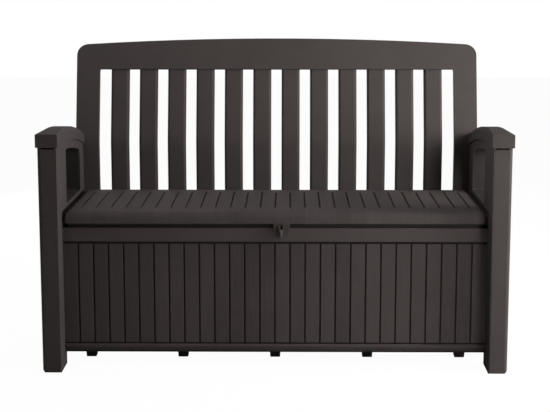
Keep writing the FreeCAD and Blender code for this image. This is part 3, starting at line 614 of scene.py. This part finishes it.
# Slats of the backrest: their round front edges are pressed flat into chamfers
def chamfer_slats(shell):
    shell.normal_update()
    moves = []
    for vert in shell.verts:
        inward = slat_half - abs(vert.co.x % slat_pitch - slat_pitch / 2)
        rounds = [face for face in vert.link_faces
                  if face.normal.y < front_turn and round_faces[0] < abs(face.normal.x) < round_faces[1]]
        if rounds and hair < inward < slat_round:
            normal = max(rounds, key=lambda face: face.calc_area()).normal
            lean = Vector((0.0, normal.y, normal.z)).normalized()
            moves.append((vert, lean * above_chamfer(inward, slat_round)))
    for vert, move in moves:
        vert.co -= move
    shell.normal_update()


# Lower edge of the backrest's top rail
def chamfer_rail(shell):
    under_rail = [edge for edge in shell.edges
                  if is_outer_edge(edge)
                  and min(face.normal.z for face in edge.link_faces) < -straight
                  and min(face.normal.y for face in edge.link_faces) < rail_turn
                  and all(abs(vert.co.z - slot_top) < slot_top_play for vert in edge.verts)]
    bevel(shell, under_rail, rail_chamfer, 1)


# Bottom rail of the front panel: a flat chamfer above, and a face that leans in towards the foot
def shape_foot_rail(shell):
    foot = foot_of(shell)
    front = min(vert.co.y for vert in shell.verts)
    for vert in shell.verts:
        below = foot + foot_rail_top - vert.co.z
        if below > hair and vert.co.y < front + foot_rail_round:
            if below < foot_rail_round:
                vert.co.y += above_chamfer(below, foot_rail_round)
            else:
                vert.co.y += foot_rail_tilt * (below - foot_rail_round)
    shell.normal_update()


# Shell of a moulding: its CAD node with the outer edges rounded, marked for the rub, and for soil and
# painted shade
def rounded_shell(node, rounding):
    shell = bmesh.new()
    shell.from_mesh(nodes[node].data)
    bmesh.ops.remove_doubles(shell, verts=shell.verts, dist=weld_distance)
    if node == "backrest":
        chamfer_slats(shell)
    if node == "front_panel":
        shape_foot_rail(shell)
    bmesh.ops.dissolve_limit(shell, angle_limit=flat_angle, verts=shell.verts, edges=shell.edges)
    if node == "backrest":
        chamfer_rail(shell)
    sharp = [edge for edge in shell.edges if is_outer_edge(edge) and edge.calc_length() > rounding]
    made = bevel(shell, sharp, rounding, round_segments)
    mark_rub(shell, set(made["faces"]))
    shell.normal_update()
    mark_soil_and_shade(shell, node)
    for face in shell.faces:
        face.smooth = True
    for edge in shell.edges:
        edge.smooth = edge.calc_face_angle(0.0) < shade_angle
    return shell


# Moulding that stands for its CAD node
def moulding(node, name, rounding):
    shell = rounded_shell(node, rounding)
    mesh = bpy.data.meshes.new(name)
    shell.to_mesh(mesh)
    shell.free()
    piece = bpy.data.objects.new(name, mesh)
    scene.collection.objects.link(piece)
    even = piece.modifiers.new("even_shading", "WEIGHTED_NORMAL")
    even.keep_sharp = True
    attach(piece, nodes[node]["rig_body"])
    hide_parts(node)
    finish_with(piece, slot_of[node])


mouldings = [
    ("side_frame_left", "left_side_moulding", frame_round),
    ("side_frame_right", "right_side_moulding", frame_round),
    ("side_cover_left", "left_side_inner", frame_round),
    ("side_cover_right", "right_side_inner", frame_round),
    ("arm_cap_left", "left_arm_cap", small_round),
    ("arm_cap_right", "right_arm_cap", small_round),
    ("front_panel", "front_planks", panel_round),
    ("rear_panel", "rear_planks", panel_round),
    ("floor_panel", "box_floor", frame_round),
    ("backrest", "slatted_backrest", panel_round),
    ("seat_lid", "planked_seat", panel_round),
    ("lid_liner", "seat_liner", frame_round),
    ("lid_hasp", "padlock_hasp", small_round),
    ("lock_eye", "padlock_eye", eye_round),
]
for node, name, rounding in mouldings:
    moulding(node, name, rounding)
for node in nodes:
    finish_with(nodes[node], slot_of[node])


def add_camera():
    data = bpy.data.cameras.new("photo_camera")
    data.lens = camera_lens
    data.sensor_width = film_width
    data.sensor_fit = "HORIZONTAL"
    camera = bpy.data.objects.new("photo_camera", data)
    camera.location = camera_place
    camera.rotation_euler = (math.radians(90 - camera_pitch), 0, math.radians(camera_turn))
    scene.collection.objects.link(camera)
    scene.camera = camera


def add_lamp(name, place, target, width, power, spread):
    data = bpy.data.lights.new(name, "AREA")
    data.shape = "SQUARE"
    data.size = width
    data.energy = power
    data.spread = math.radians(spread)
    lamp = bpy.data.objects.new(name, data)
    lamp.location = place
    lamp.rotation_euler = (Vector(target) - Vector(place)).to_track_quat("-Z", "Y").to_euler()
    lamp.visible_camera = False
    scene.collection.objects.link(lamp)


# Whether the camera, a reflection or glass sees a surface directly
def seen_directly(tree):
    path = node_in(tree, "ShaderNodeLightPath")
    seen = maths(tree, "MAXIMUM", path.outputs["Is Camera Ray"], path.outputs["Is Glossy Ray"])
    return maths(tree, "MAXIMUM", seen, path.outputs["Is Transmission Ray"])


# Surroundings: white where they are seen directly, and a faint light on the bench
def add_world():
    world = bpy.data.worlds.new("studio")
    scene.world = world
    world.use_nodes = True
    tree = world.node_tree
    background = tree.nodes["Background"]
    background.inputs["Color"].default_value = (1, 1, 1, 1)
    wire(tree, remap(tree, seen_directly(tree), 0, 1, fill_light, 1.0), background.inputs["Strength"])


# Pale floor, nearly white where it is seen directly, which keeps some of the bench's shadow
def add_floor():
    shape = bmesh.new()
    bmesh.ops.create_grid(shape, x_segments=1, y_segments=1, size=floor_reach)
    mesh = bpy.data.meshes.new("studio_floor")
    shape.to_mesh(mesh)
    shape.free()
    floor = bpy.data.objects.new("studio_floor", mesh)
    scene.collection.objects.link(floor)
    material, tree, shader = new_material("studio_floor")
    shader.inputs["Base Color"].default_value = floor_colour
    shader.inputs["Roughness"].default_value = floor_roughness
    shader.inputs["Specular IOR Level"].default_value = 0.0
    white = node_in(tree, "ShaderNodeEmission")
    blend = node_in(tree, "ShaderNodeMixShader")
    wire(tree, maths(tree, "MULTIPLY", seen_directly(tree), floor_white), blend.inputs["Fac"])
    wire(tree, shader.outputs[0], blend.inputs[1])
    wire(tree, white.outputs[0], blend.inputs[2])
    wire(tree, blend.outputs[0], tree.nodes["Material Output"].inputs["Surface"])
    mesh.materials.append(material)


add_camera()
add_world()
add_floor()
for lamp in lamps:
    add_lamp(*lamp)

scene.view_settings.view_transform = "Standard"
